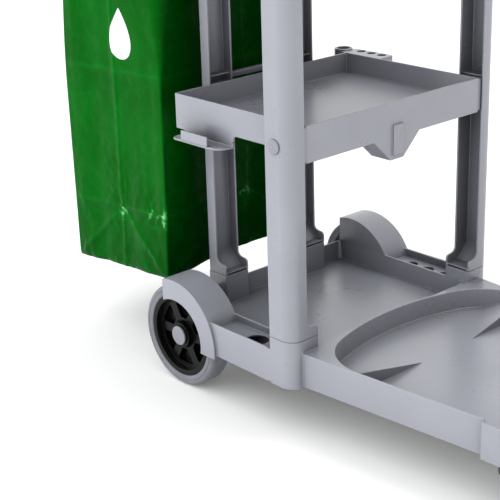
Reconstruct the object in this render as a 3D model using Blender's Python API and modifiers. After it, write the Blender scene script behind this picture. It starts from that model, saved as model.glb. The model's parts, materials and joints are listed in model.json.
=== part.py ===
"""Housekeeping cart: a moulded base on two large rear wheels and two swivel casters, four channel
uprights, two tray shelves, a tool rack, and a vinyl waste bag hung on a frame behind.

Sizes are in millimetres. Lengths along the cart are measured forward (+X) of the rear axle, +Y is the
far side, z is 0 on the floor, and "half" sizes are measured from the cart's middle plane.
"""

import math

import bmesh
import bpy
from mathutils import Matrix, Vector

MM = 0.001
GAP = 0.3
COLLECTION = "housekeeping_cart"
SIDES = {"near": -1, "far": 1}

# Overall
AXLE_X = -169.0
HALF_WIDTH = 275.0
WALL = 4.0

# Base moulding
BASE_BOTTOM = 92.0
BASE_RIM = 156.5
DECK = 120.0
DECK_THICKNESS = 4.0
BASE_REAR = -40.0
TRAY_HALF = 207.0
BASE_SIDE = 269.7
TROUGH_INNER = 211.0
TROUGH_FLOOR = 142.0
TROUGH_END = 253.0
BIG_HOLE_X = 190.0
BIG_HOLE_RADIUS = 21.5
SMALL_HOLES = (141.0, 184.0, 227.0)
SMALL_HOLE_RADIUS = 12.5
POCKET_DRAFT = 5.0
PLATFORM_START = 320.0
PLATFORM_HALF = 244.4
PLATFORM_TAPER = 0.0822
PLATFORM_FRONT = 764.0
CORNER_BLOCK_START = 690.0
CORNER_BLOCK_HALF = 225.5
WELL_ARC_RADIUS = 490.0
WELL_ARC_FRONT = 296.0
WELL_CORNER_RADIUS = 110.0
TRAY_FRONT = 304.0
TRAY_END = 283.0
RIB_PLACES = (60.0, 170.0, 430.0, 530.0, 630.0)

# Rear wheels and fenders
WHEEL_RADIUS = 100.0
WHEEL_Z = 100.0
RIM_RADIUS = 81.0
TYRE_WIDTH = 45.0
WHEEL_FACE = 270.0
FENDER_X = -3.0
FENDER_RADIUS = 113.0
FENDER_BAND_RADIUS = 73.0
FENDER_INNER = 207.0
FENDER_CUT = -37.0
FENDER_BOTTOM = 86.0
ARCH_STEPS = 64
AXLE_RADIUS = 6.0
RUNNING_CLEARANCE = 0.1

# Uprights
JOINT_Z = 179.6
UPRIGHT_TOP = 884.7
FRONT_UPRIGHT = {"rear": 256.5, "width": 58.0, "outer": 269.7, "depth": 38.2, "boot": 64.0, "corner": 26.0}
REAR_UPRIGHT = {"back": -62.5, "width": 58.0, "outer": 135.8, "depth": 24.5, "boot": 51.7}
FRONT_POST_BOTTOM = 89.0
BOOT_TOE_Z = 20.0
BOOT_TOE_RADIUS = 7.0
BOOT_NECK_Z = 23.0
BOOT_NECK_RADIUS = 12.0
FRONT_RIB_Z = 559.0
REAR_RIB_Z = 570.0
RIB_REACH = 30.0
HEEL = 32.0

# Middle shelf
SHELF_REAR = -32.4
SHELF_FRONT = 310.5
SHELF_HALF = 226.0
SHELF_BOTTOM = 496.0
SHELF_RIM = 561.5
SHELF_DECK = 524.0
SHELF_STEP_X = 126.0
SHELF_STEP_Z = 509.5
LUG_LOW = 499.0
LUG_HIGH = 558.7
REST_START = -8.0
REST_END = 125.5
REST_OUTER = 258.0
RACK_HOLES = (-20.0, 8.0, 36.0)
RACK_HOLE_Y = 257.0
PLUG_X = 280.3
PLUG_Z = 529.6
PLUG_RADIUS = 13.0

# Top shelf
TOP_REAR = -70.0
TOP_FRONT = 326.0
TOP_HALF = 272.0
TOP_BOTTOM = 885.0
TOP_DECK = 905.0
TOP_RIM = 975.0
TOP_DIVIDER_X = 205.0

# Bag, its frame and hooks
FRAME_Z = 935.0
FRAME_REAR = -412.0
FRAME_FRONT = -88.0
FRAME_HALF = 212.5
FRAME_BAR = 10.0
FRAME_CORNER = 40.0
GRIP_RADIUS = 14.0
GRIP_HALF = 115.0
BAG_THICKNESS = 1.5
BAG_TOP = 921.0
BAG_BOTTOM = 153.0
BAG_HALF = 200.0
BAG_CORNER = 14.0
HOOK_WIRE = 1.6
GROMMET_Z = 907.0
GRIP_STEPS = 24

# Casters
CASTER_X = 735.0
CASTER_Y = 190.0
CASTER_TRAIL = 25.0
CASTER_RADIUS = 35.0
CASTER_HALF_WIDTH = 11.0
CASTER_HEAD_RADIUS = 27.0
CASTER_HEAD_BOTTOM = 71.5
CASTER_HEAD_TOP = 83.7
CASTER_PLATE_BOTTOM = 88.6
CASTER_PLATE_TOP = 91.7
PAD_BOTTOM = 92.0

WHEEL_STEPS = 48
CASTER_STEPS = 36
SMALL_STEPS = 28
TINY_STEPS = 16

# Material: base colour, roughness, metallic
MATERIALS = {
    "body_plastic": ((0.47, 0.475, 0.52), 0.5, 0.0),
    "bag_vinyl": ((0.0, 0.17, 0.03), 0.3, 0.0),
    "hub_plastic": ((0.012, 0.012, 0.014), 0.25, 0.0),
    "tyre_rubber": ((0.33, 0.335, 0.37), 0.6, 0.0),
    "cap_plastic": ((0.4, 0.405, 0.44), 0.5, 0.0),
    "caster_plastic": ((0.015, 0.015, 0.017), 0.4, 0.0),
    "grip_rubber": ((0.03, 0.03, 0.032), 0.7, 0.0),
    "steel": ((0.62, 0.62, 0.62), 0.3, 1.0),
}


# ---------------------------------------------------------------- tools


def clear_scene():
    for item in list(bpy.data.objects):
        bpy.data.objects.remove(item, do_unlink=True)
    for group in list(bpy.data.collections):
        bpy.data.collections.remove(group)


def make_material(name):
    colour, roughness, metallic = MATERIALS[name]
    material = bpy.data.materials.new(name)
    material.use_nodes = True
    shader = material.node_tree.nodes["Principled BSDF"]
    shader.inputs["Base Color"].default_value = (*colour, 1.0)
    shader.inputs["Roughness"].default_value = roughness
    shader.inputs["Metallic"].default_value = metallic
    material.diffuse_color = (*colour, 1.0)
    return material


def place(x, y, z):
    """A point in metres, from millimetres forward of the rear axle."""
    return Vector(((x + AXLE_X) * MM, y * MM, z * MM))


def link(name, data):
    item = bpy.data.objects.new(name, data)
    bpy.data.collections[COLLECTION].objects.link(item)
    return item


def tidy_mesh(mesh):
    shape = bmesh.new()
    shape.from_mesh(mesh)
    bmesh.ops.remove_doubles(shape, verts=shape.verts, dist=0.002 * MM)
    bmesh.ops.recalc_face_normals(shape, faces=shape.faces)
    shape.to_mesh(mesh)
    shape.free()


def evaluated_mesh(item):
    graph = bpy.context.evaluated_depsgraph_get()
    graph.update()
    return bpy.data.meshes.new_from_object(item.evaluated_get(graph))


def bake(item):
    """Replace the object by a plain mesh of what its modifiers or its curve make."""
    mesh = evaluated_mesh(item)
    tidy_mesh(mesh)
    name = item.name
    matrix = item.matrix_world.copy()
    bpy.data.objects.remove(item, do_unlink=True)
    mesh.transform(matrix)
    return link(name, mesh)


def combine(target, tools, operation):
    """Join, cut or intersect the target with each tool in turn."""
    for tool in tools:
        modifier = target.modifiers.new(tool.name, "BOOLEAN")
        modifier.operation = operation
        modifier.object = tool
    bpy.context.view_layer.update()
    result = bake(target)
    for tool in tools:
        bpy.data.objects.remove(tool, do_unlink=True)
    return result


def join(target, *tools):
    return combine(target, tools, "UNION")


def cut(target, *tools):
    return combine(target, tools, "DIFFERENCE")


def rounded(corners, step=18.0):
    """An outline from (u, v, radius) corners, in order round the shape, with arcs at the corners."""
    points = []
    count = len(corners)
    for index, (u, v, radius) in enumerate(corners):
        here = Vector((u, v))
        if radius <= 0.0:
            points.append((u, v))
            continue
        back = (Vector(corners[index - 1][:2]) - here).normalized()
        ahead = (Vector(corners[(index + 1) % count][:2]) - here).normalized()
        half = back.angle(ahead) / 2
        bisector = (back + ahead).normalized()
        centre = here + bisector * (radius / math.sin(half))
        first = here + back * (radius / math.tan(half)) - centre
        last = here + ahead * (radius / math.tan(half)) - centre
        start = math.atan2(first.y, first.x)
        sweep = math.atan2(last.y, last.x) - start
        sweep = (sweep + math.pi) % (2 * math.pi) - math.pi
        steps = max(2, math.ceil(abs(math.degrees(sweep)) / step))
        for number in range(steps + 1):
            angle = start + sweep * number / steps
            points.append((centre.x + radius * math.cos(angle), centre.y + radius * math.sin(angle)))
    return points


def rectangle(low_u, high_u, low_v, high_v, radius=0.0, step=18.0):
    corners = ((low_u, low_v), (high_u, low_v), (high_u, high_v), (low_u, high_v))
    return rounded([(u, v, radius) for u, v in corners], step)


def arc(centre_u, centre_v, radius, start, end, steps):
    """Points on an arc, angles in degrees."""
    angles = [math.radians(start + (end - start) * number / steps) for number in range(steps + 1)]
    return [(centre_u + radius * math.cos(a), centre_v + radius * math.sin(a)) for a in angles]


AXES = {
    "X": Matrix(((0, 0, 1), (1, 0, 0), (0, 1, 0))),
    "Y": Matrix(((1, 0, 0), (0, 0, -1), (0, 1, 0))),
    "Z": Matrix.Identity(3),
}


def slab(name, outline, low, high, axis="Z"):
    """An outline with thickness. It lies in YZ for axis X, in XZ for axis Y and in XY for axis Z."""
    curve = bpy.data.curves.new(name, "CURVE")
    curve.dimensions = "2D"
    curve.fill_mode = "BOTH"
    curve.extrude = (high - low) / 2 * MM
    spline = curve.splines.new("POLY")
    spline.points.add(len(outline) - 1)
    for point, (u, v) in zip(spline.points, outline):
        point.co = (u * MM, v * MM, 0.0, 1.0)
    spline.use_cyclic_u = True
    item = link(name, curve)
    middle = {"X": (1, 0, 0), "Y": (0, 1, 0), "Z": (0, 0, 1)}[axis]
    offset = Vector(middle) * (low + high) / 2
    item.matrix_world = Matrix.Translation(place(*offset)) @ AXES[axis].to_4x4()
    bpy.context.view_layer.update()
    return bake(item)


def box(name, low, high):
    mesh = bpy.data.meshes.new(name)
    shape = bmesh.new()
    bmesh.ops.create_cube(shape, size=1.0)
    shape.to_mesh(mesh)
    shape.free()
    start = place(*low)
    end = place(*high)
    size = end - start
    mesh.transform(Matrix.Translation((start + end) / 2) @ Matrix.Diagonal((*size, 1.0)))
    return link(name, mesh)


def side_box(name, side, x_range, half_range, z_range):
    """A box given by its distances from the middle plane, on the near or the far side."""
    ends = sorted(side * half for half in half_range)
    return box(name, (x_range[0], ends[0], z_range[0]), (x_range[1], ends[1], z_range[1]))


def loft(name, sections):
    """A closed solid through loops of equally many points, with a flat face over each end."""
    mesh = bpy.data.meshes.new(name)
    shape = bmesh.new()
    rings = [[shape.verts.new(place(*point)) for point in section] for section in sections]
    for lower, upper in zip(rings, rings[1:]):
        for index in range(len(lower)):
            after = (index + 1) % len(lower)
            shape.faces.new((lower[index], lower[after], upper[after], upper[index]))
    shape.faces.new(rings[0])
    shape.faces.new(rings[-1])
    bmesh.ops.recalc_face_normals(shape, faces=shape.faces)
    shape.to_mesh(mesh)
    shape.free()
    return link(name, mesh)


def hull(name, points):
    mesh = bpy.data.meshes.new(name)
    shape = bmesh.new()
    for point in points:
        shape.verts.new(place(*point))
    bmesh.ops.convex_hull(shape, input=shape.verts)
    shape.to_mesh(mesh)
    shape.free()
    return link(name, mesh)


TURN_AXES = {
    "X": Matrix.Rotation(math.pi / 2, 4, "Y"),
    "Y": Matrix.Rotation(-math.pi / 2, 4, "X"),
    "Z": Matrix.Identity(4),
}


def turned(name, profile, centre, axis="Z", steps=SMALL_STEPS, ring=False):
    """A turned solid. The profile is (radius, height) points down its outer side; a ring's closes."""
    mesh = bpy.data.meshes.new(name)
    edges = [(index, index + 1) for index in range(len(profile) - 1)]
    if ring:
        edges.append((len(profile) - 1, 0))
    mesh.from_pydata([(radius * MM, 0.0, height * MM) for radius, height in profile], edges, [])
    item = link(name, mesh)
    screw = item.modifiers.new("turn", "SCREW")
    screw.steps = steps
    screw.render_steps = steps
    screw.use_merge_vertices = True
    screw.merge_threshold = 0.00001
    item.matrix_world = Matrix.Translation(place(*centre)) @ TURN_AXES[axis]
    bpy.context.view_layer.update()
    return bake(item)


def rod(name, radius, low, high, centre, axis="Z", steps=SMALL_STEPS):
    """A plain cylinder from low to high along its axis, measured from its centre."""
    return turned(name, [(0, high), (radius, high), (radius, low), (0, low)], centre, axis, steps)


def tube(name, inner, outer, low, high, centre, axis="Z", steps=SMALL_STEPS):
    profile = [(inner, high), (outer, high), (outer, low), (inner, low)]
    return turned(name, profile, centre, axis, steps, ring=True)


def wire(name, points, radius, closed=False, sides=2):
    """A bent wire or tube through points, with filled ends."""
    curve = bpy.data.curves.new(name, "CURVE")
    curve.dimensions = "3D"
    curve.bevel_depth = radius * MM
    curve.bevel_resolution = sides
    curve.use_fill_caps = True
    spline = curve.splines.new("POLY")
    spline.points.add(len(points) - 1)
    for spot, point in zip(spline.points, points):
        spot.co = (*place(*point), 1.0)
    spline.use_cyclic_u = closed
    item = link(name, curve)
    bpy.context.view_layer.update()
    return bake(item)


def mirrored(item, name):
    """A copy of a near-side piece for the far side."""
    mesh = item.data.copy()
    mesh.transform(Matrix.Scale(-1.0, 4, (0.0, 1.0, 0.0)))
    mesh.flip_normals()
    return link(name, mesh)


def finish(item, material, smooth=False, origin=None):
    """Give the piece its material and shading, and its origin if it turns about one."""
    item.data.materials.clear()
    item.data.materials.append(material)
    if smooth:
        item.data.shade_smooth()
        item.data.set_sharp_from_angle(angle=math.radians(35))
    if origin is not None:
        spot = place(*origin)
        item.data.transform(Matrix.Translation(-spot))
        item.location = spot
    return item


# ---------------------------------------------------------------- base


def platform_half(x):
    """Half width of the platform's tapering side at x."""
    return PLATFORM_HALF - PLATFORM_TAPER * (x - PLATFORM_START)


def both_sides(half_corners):
    """A full outline from the corners of its far half, which runs from the rear to the front."""
    near = [(x, -y, radius) for x, y, radius in half_corners]
    far = [(x, y, radius) for x, y, radius in reversed(half_corners)]
    return near + far


def base_outline():
    return rounded(both_sides([
        (BASE_REAR, TRAY_HALF + 2.0, 4.0),
        (92.0, TRAY_HALF + 2.0, 0.0),
        (92.0, BASE_SIDE, 0.0),
        (TRAY_END, BASE_SIDE, 0.0),
        (TRAY_END, platform_half(TRAY_END), 0.0),
        (CORNER_BLOCK_START - 1.0, platform_half(CORNER_BLOCK_START), 0.0),
        (CORNER_BLOCK_START, CORNER_BLOCK_HALF + 1.0, 6.0),
        (PLATFORM_FRONT, CORNER_BLOCK_HALF - 1.5, 20.0),
    ]))


def well_outline(inset):
    """The bucket well: a bowed rear wall, big round corners, and the platform's own sides."""
    centre_x = WELL_ARC_FRONT + WELL_ARC_RADIUS
    radius = WELL_ARC_RADIUS - inset
    bow = math.degrees(math.asin(150.0 / WELL_ARC_RADIUS))
    rear_wall = arc(centre_x, 0.0, radius, 180.0 - bow, 180.0 + bow, 16)
    front = PLATFORM_FRONT - WALL - inset
    sides = [
        (347.7 + inset, platform_half(347.7) - WALL - inset, WELL_CORNER_RADIUS - inset),
        (CORNER_BLOCK_START - WALL, platform_half(CORNER_BLOCK_START) - WALL - inset, 0.0),
        (CORNER_BLOCK_START + WALL, CORNER_BLOCK_HALF - WALL - inset, 6.0),
        (front, CORNER_BLOCK_HALF - 5.0 - inset, 16.0 - inset),
    ]
    near = [(x, -y, r) for x, y, r in sides]
    far = [(x, y, r) for x, y, r in reversed(sides)]
    return rounded([(x, y, 0.0) for x, y in rear_wall] + near + far, step=9.0)


def tray_outline(inset):
    """The rear tray: straight sides, and a front wall that follows the well's bowed wall."""
    centre_x = WELL_ARC_FRONT + WELL_ARC_RADIUS
    radius = WELL_ARC_RADIUS + WALL + inset
    front = TRAY_FRONT - inset
    half_chord = math.sqrt(radius**2 - (centre_x - front) ** 2)
    bow = math.degrees(math.asin(half_chord / radius))
    front_wall = arc(centre_x, 0.0, radius, 180.0 + bow, 180.0 - bow, 14)
    side = TRAY_HALF - inset
    rear = BASE_REAR + WALL + inset
    corners = [(front, side, 24.0), (rear, side, 8.0), (rear, -side, 8.0), (front, -side, 24.0)]
    return rounded([(x, y, 0.0) for x, y in front_wall] + corners, step=15.0)


def pocket(name, outline_of, low, high):
    """A pocket with drafted walls, full size at its rim."""
    floor = [(x, y, low) for x, y in outline_of(POCKET_DRAFT)]
    rim = [(x, y, high) for x, y in outline_of(0.0)]
    above = [(x, y, high + 8.0) for x, y in outline_of(0.0)]
    return loft(name, [floor, rim, above])


def wheel_stop(side):
    """A wedge on the well's floor with its upright face to the front."""
    wall = side * (platform_half(436.0) - 2.0)
    return hull("wheel_stop", [
        (436.0, side * 60.0, DECK - 1.0),
        (436.0, wall, BASE_RIM - 1.0),
        (436.0, wall, DECK - 1.0),
        (350.0, side * 216.0, DECK - 1.0),
    ])


def fender(side):
    reach = FENDER_CUT - FENDER_X
    top = math.degrees(math.acos(reach / FENDER_RADIUS))
    low = math.degrees(math.asin((FENDER_BOTTOM - WHEEL_Z) / FENDER_RADIUS))
    outline = arc(FENDER_X, WHEEL_Z, FENDER_RADIUS, low, top, 30) + [(FENDER_CUT, FENDER_BOTTOM)]
    ends = sorted((side * FENDER_INNER, side * HALF_WIDTH))
    return slab("fender", outline, ends[0], ends[1], "Y")


def front_post(side):
    """The post that carries a front upright, with one large round corner outside."""
    shape = FRONT_UPRIGHT
    front = shape["rear"] + shape["width"]
    inner = side * (shape["outer"] - shape["boot"])
    outer = side * shape["outer"]
    outline = rounded([
        (shape["rear"], inner, 2.0),
        (front, inner, 2.0),
        (front, outer, shape["corner"]),
        (shape["rear"], outer, 2.0),
    ], 15.0)
    return slab("front_post", outline, FRONT_POST_BOTTOM, JOINT_Z)


def front_post_hollow(side):
    """The hollow inside a front post, open below."""
    shape = FRONT_UPRIGHT
    rear = shape["rear"] + WALL
    front = shape["rear"] + shape["width"] - WALL
    inner = side * (shape["outer"] - shape["boot"] + WALL)
    outer = side * (shape["outer"] - WALL)
    corner = shape["corner"] - WALL
    outline = rounded([(rear, inner, 0.0), (front, inner, 0.0), (front, outer, corner), (rear, outer, 0.0)])
    return slab("under_post", outline, BASE_BOTTOM - 10.0, JOINT_Z - WALL)


def rear_post(side):
    shape = REAR_UPRIGHT
    ends = sorted((side * shape["outer"], side * (shape["outer"] - shape["width"])))
    outline = rectangle(shape["back"], shape["back"] + shape["boot"], ends[0], ends[1], 2.0)
    return slab("rear_post", outline, BASE_BOTTOM, JOINT_Z)


def underside_cutters():
    """What leaves the base a moulding of even walls, open below."""
    low = BASE_BOTTOM - 10.0
    under_deck = DECK - DECK_THICKNESS
    inner = TRAY_HALF + 2.0 - WALL
    start = PLATFORM_START + 2.0
    hollow = rounded(both_sides([
        (BASE_REAR + WALL, inner, 2.0),
        (start, inner, 0.0),
        (start, platform_half(start) - WALL, 2.0),
        (CORNER_BLOCK_START - WALL, platform_half(CORNER_BLOCK_START) - WALL, 0.0),
        (CORNER_BLOCK_START + WALL, CORNER_BLOCK_HALF - WALL, 3.0),
        (PLATFORM_FRONT - WALL, CORNER_BLOCK_HALF - 5.5, 15.0),
    ]))
    cutters = [slab("under_deck", hollow, low, under_deck)]
    for side in SIDES.values():
        halves = (TROUGH_INNER + 1.7, BASE_SIDE - WALL)
        levels = (low, TROUGH_FLOOR - WALL)
        cutters.append(side_box("under_trough", side, (117.0, TROUGH_END), halves, levels))
        cutters.append(front_post_hollow(side))
        shape = REAR_UPRIGHT
        halves = (shape["outer"] - shape["width"] + WALL, shape["outer"] - WALL)
        ends = (shape["back"] + WALL, shape["back"] + shape["boot"] - WALL)
        cutters.append(side_box("under_rear_post", side, ends, halves, (low, JOINT_Z - WALL)))
    return cutters


def wheel_cutters():
    cutters = []
    for side in SIDES.values():
        arch = (FENDER_X, 0.0, WHEEL_Z)
        ends = sorted((side * (FENDER_INNER + WALL), side * (HALF_WIDTH - WALL)))
        cutters.append(rod("arch", FENDER_RADIUS - WALL, ends[0], ends[1], arch, "Y", ARCH_STEPS))
        ends = sorted((side * (HALF_WIDTH - 8.0), side * (HALF_WIDTH + 8.0)))
        cutters.append(rod("band_opening", FENDER_BAND_RADIUS, ends[0], ends[1], arch, "Y", ARCH_STEPS))
    reach = FENDER_INNER + 8.0
    bore = AXLE_RADIUS + 2 * RUNNING_CLEARANCE
    cutters.append(rod("axle_bore", bore, -reach, reach, (0.0, 0.0, WHEEL_Z), "Y"))
    return cutters


def tool_hole_cutters():
    """One big tool hole by the near front post, and a row of three smaller ones on the far side."""
    middle = (TROUGH_INNER + BASE_SIDE - WALL) / 2
    low = TROUGH_FLOOR - 10.0
    high = TROUGH_FLOOR + 10.0
    cutters = [rod("big_hole", BIG_HOLE_RADIUS, low, high, (BIG_HOLE_X, -middle, 0.0))]
    for x in SMALL_HOLES:
        cutters.append(rod("small_hole", SMALL_HOLE_RADIUS, low, high, (x, middle, 0.0)))
    return cutters


def make_base():
    base = slab("base", base_outline(), BASE_BOTTOM, BASE_RIM)
    pockets = [pocket("tray", tray_outline, DECK, BASE_RIM), pocket("well", well_outline, DECK, BASE_RIM)]
    for side in SIDES.values():
        ends = sorted((side * TROUGH_INNER, side * (BASE_SIDE - WALL)))
        outline = rectangle(80.0, TROUGH_END, ends[0], ends[1], 4.0)
        pockets.append(slab("trough", outline, TROUGH_FLOOR, BASE_RIM + 8.0))
    base = cut(base, *pockets)
    additions = []
    for side in SIDES.values():
        additions += [wheel_stop(side), fender(side), front_post(side), rear_post(side)]
    base = join(base, *additions)
    base = cut(base, *underside_cutters())
    supports = []
    for x in RIB_PLACES:
        half = TRAY_HALF if x < PLATFORM_START else platform_half(x) - 2.0
        supports.append(box("rib", (x - 1.5, -half, 96.0), (x + 1.5, half, DECK - 2.0)))
    for side in SIDES.values():
        halves = (154.0, 222.0)
        supports.append(side_box("caster_pad", side, (700.0, 762.0), halves, (PAD_BOTTOM, DECK - 2.0)))
    base = join(base, *supports)
    return cut(base, *wheel_cutters(), *tool_hole_cutters())


# ---------------------------------------------------------------- uprights


def boot_profile(start, direction, depth, boot):
    """Side outline of an upright: a straight channel above a boot with an S-shaped shoulder."""
    foot = JOINT_Z + GAP
    points = rounded([
        (0.0, foot, 0.0),
        (boot, foot, 0.0),
        (boot, foot + BOOT_TOE_Z, BOOT_TOE_RADIUS),
        (depth, foot + BOOT_NECK_Z, BOOT_NECK_RADIUS),
        (depth, UPRIGHT_TOP, 0.0),
        (0.0, UPRIGHT_TOP, 0.0),
    ])
    return [(start + direction * d, z) for d, z in points]


def front_plan(inset, reach):
    """The near front upright's plan, with its large round corner, as far as reach towards the middle."""
    shape = FRONT_UPRIGHT
    rear = shape["rear"] + inset
    front = shape["rear"] + shape["width"] - inset
    outer = inset - shape["outer"]
    corner = shape["corner"] - inset
    corners = [(rear, outer, 2.0), (front, outer, corner), (front, reach, 0.0), (rear, reach, 0.0)]
    return rounded(corners, 15.0)


def make_front_upright():
    """The near front upright: it opens towards the cart's middle and has one large round corner."""
    shape = FRONT_UPRIGHT
    rear = shape["rear"]
    front = rear + shape["width"]
    outer = -shape["outer"]
    foot = JOINT_Z + GAP
    body = slab("body", boot_profile(outer, 1.0, shape["depth"], shape["boot"]), rear, front, "X")
    reach = outer + shape["boot"] + 1.0
    plan = slab("plan", front_plan(0.0, reach), foot - 5.0, UPRIGHT_TOP + 5.0)
    body = combine(body, [plan], "INTERSECT")
    channel = slab("channel", front_plan(WALL, reach + 5.0), foot + 5.0, UPRIGHT_TOP + 5.0)
    slot = box("slot", (rear + 6.0, reach - 6.0, foot - 1.0), (front - 6.0, reach + 1.0, foot + 2.6))
    hole = rod("hole", 6.0, -3.0, WALL + 3.0, (PLUG_X, outer, PLUG_Z), "Y")
    body = cut(body, channel, slot, hole)
    inside = WALL / 2
    low = foot + 4.0
    ramp = [(outer + inside, low), (outer + inside + HEEL, low), (outer + inside, low + HEEL)]
    heel = slab("heel", ramp, rear + inside, front - inside, "X")
    heel = combine(heel, [slab("heel_plan", front_plan(inside, reach), foot, foot + 2 * HEEL)], "INTERSECT")
    rib = slab("rib", front_plan(inside, outer + RIB_REACH), FRONT_RIB_Z, FRONT_RIB_Z + WALL)
    upright = join(body, heel, rib)
    upright.name = "upright_front_near"
    return upright


def make_rear_upright():
    """The near rear upright: it opens to the front."""
    shape = REAR_UPRIGHT
    back = shape["back"]
    outer = -shape["outer"]
    inner = outer + shape["width"]
    foot = JOINT_Z + GAP
    body = slab("body", boot_profile(back, 1.0, shape["depth"], shape["boot"]), outer, inner, "Y")
    reach = back + shape["boot"] + 1.0
    plan = rounded([(back, outer, 4.0), (reach, outer, 0.0), (reach, inner, 0.0), (back, inner, 4.0)])
    body = combine(body, [slab("plan", plan, foot - 5.0, UPRIGHT_TOP + 5.0)], "INTERSECT")
    corner = (back + WALL, outer + WALL, foot + 5.0)
    channel = box("channel", corner, (reach + 5.0, inner - WALL, UPRIGHT_TOP + 5.0))
    slot = box("slot", (reach - 6.0, outer + 6.0, foot - 1.0), (reach + 1.0, inner - 6.0, foot + 2.6))
    body = cut(body, channel, slot)
    inside = WALL / 2
    low = foot + 4.0
    ramp = [(back + inside, low), (back + inside + HEEL, low), (back + inside, low + HEEL)]
    heel = slab("heel", ramp, outer + inside, inner - inside, "Y")
    depth = shape["depth"] - 6.0
    corner = (back + inside, outer + inside, REAR_RIB_Z)
    rib = box("rib", corner, (back + depth, inner - inside, REAR_RIB_Z + WALL))
    upright = join(body, heel, rib)
    upright.name = "upright_rear_near"
    return upright


# ---------------------------------------------------------------- shelves


def shelf_tray(name, rear, front, half, levels, radius, draft):
    """A tray with a skirt below its deck. Levels are its bottom, deck and rim."""
    bottom, deck, rim = levels
    body = slab(name, rectangle(rear, front, -half, half, radius), bottom, rim)
    rear += WALL
    front -= WALL
    half -= WALL

    def loop(inset, z):
        outline = rectangle(rear + inset, front - inset, -half + inset, half - inset, radius - 3.0)
        return [(x, y, z) for x, y in outline]

    inside = loft("inside", [loop(draft, deck), loop(0.0, rim), loop(0.0, rim + 8.0)])
    below = slab("below", rectangle(rear, front, -half, half, radius - 3.0), bottom - 8.0, deck - WALL)
    return cut(body, inside, below)


def shelf_lugs(inner_half, rear_edge, z_low, z_high):
    """Lugs that plug into the four channels."""
    lugs = []
    shape = FRONT_UPRIGHT
    back = REAR_UPRIGHT
    for side in SIDES.values():
        start = shape["rear"] + WALL + 4.0
        end = shape["rear"] + shape["width"] - WALL - 0.7
        inner = side * inner_half
        outer = side * (shape["outer"] - WALL - 3.0)
        corner = shape["corner"] - 3.0
        outline = rounded([(start, inner, 0.0), (end, inner, 0.0), (end, outer, corner), (start, outer, 2.0)])
        lugs.append(slab("front_lug", outline, z_low, z_high))
        halves = (back["outer"] - back["width"] + WALL + 2.0, back["outer"] - WALL - 2.0)
        ends = (back["back"] + WALL + 1.0, rear_edge)
        lugs.append(side_box("rear_lug", side, ends, halves, (z_low, z_high)))
    return lugs


def sign_hanger():
    """The V-shaped hanger below the shelf's front wall, hollow and open to the rear."""
    outer = [(-63.0, 521.0), (-63.0, 499.0), (-17.0, 455.0), (17.0, 455.0), (63.0, 499.0), (63.0, 521.0)]
    body = slab("hanger", outer, SHELF_FRONT - 47.0, SHELF_FRONT, "X")
    inner = [(-59.0, 518.0), (-59.0, 501.0), (-15.0, 459.0), (15.0, 459.0), (59.0, 501.0), (59.0, 518.0)]
    body = cut(body, slab("hollow", inner, SHELF_FRONT - 60.0, SHELF_FRONT - WALL, "X"))
    rib = slab("rib", rectangle(-13.0, 13.0, 464.0, 520.0, 1.0), SHELF_FRONT - 2.0, SHELF_FRONT + 4.0, "X")
    return join(body, rib)


def handle_rest():
    """The rounded rest for tool handles that stands out under the shelf's near wall."""
    low = SHELF_BOTTOM - 10.0
    wall = -SHELF_HALF
    plan = rounded([
        (REST_START, wall + 3.0, 0.0),
        (REST_END, wall + 3.0, 0.0),
        (REST_END, -REST_OUTER, 28.0),
        (REST_START, -REST_OUTER, 12.0),
    ], 15.0)
    plate = slab("plate", plan, low, low + WALL)
    back = box("back", (REST_START, wall, low), (REST_END, wall + WALL, SHELF_BOTTOM + 4.0))
    lip_face = 0.5 - REST_OUTER
    lip = box("lip", (20.0, lip_face, low + 1.0), (92.0, lip_face + WALL, low + 21.0))
    return join(plate, back, lip)


def make_middle_shelf():
    levels = (SHELF_BOTTOM, SHELF_DECK, SHELF_RIM)
    shelf = shelf_tray("middle_shelf", SHELF_REAR, SHELF_FRONT, SHELF_HALF, levels, 4.0, 8.0)
    steps = []
    for side in SIDES.values():
        ends = sorted((side * (SHELF_HALF - WALL - 3.0), side * (SHELF_HALF + 5.0)))
        outline = rounded([
            (SHELF_STEP_X, SHELF_BOTTOM - 5.0, 0.0),
            (SHELF_FRONT - 45.0, SHELF_BOTTOM - 5.0, 0.0),
            (SHELF_FRONT - 45.0, SHELF_STEP_Z, 4.0),
            (SHELF_STEP_X, SHELF_STEP_Z, 11.0),
        ])
        steps.append(slab("step", outline, ends[0], ends[1], "Y"))
    shelf = cut(shelf, *steps)
    lugs = shelf_lugs(SHELF_HALF - 2.0, SHELF_REAR + 2.0, LUG_LOW, LUG_HIGH)
    shelf = join(shelf, sign_hanger(), handle_rest(), *lugs)
    holes = []
    for side in SIDES.values():
        outer = FRONT_UPRIGHT["outer"]
        ends = sorted((side * (outer - 20.0), side * outer))
        holes.append(rod("screw_hole", 3.0, ends[0], ends[1], (PLUG_X, 0.0, PLUG_Z), "Y", TINY_STEPS))
    return cut(shelf, *holes)


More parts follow.
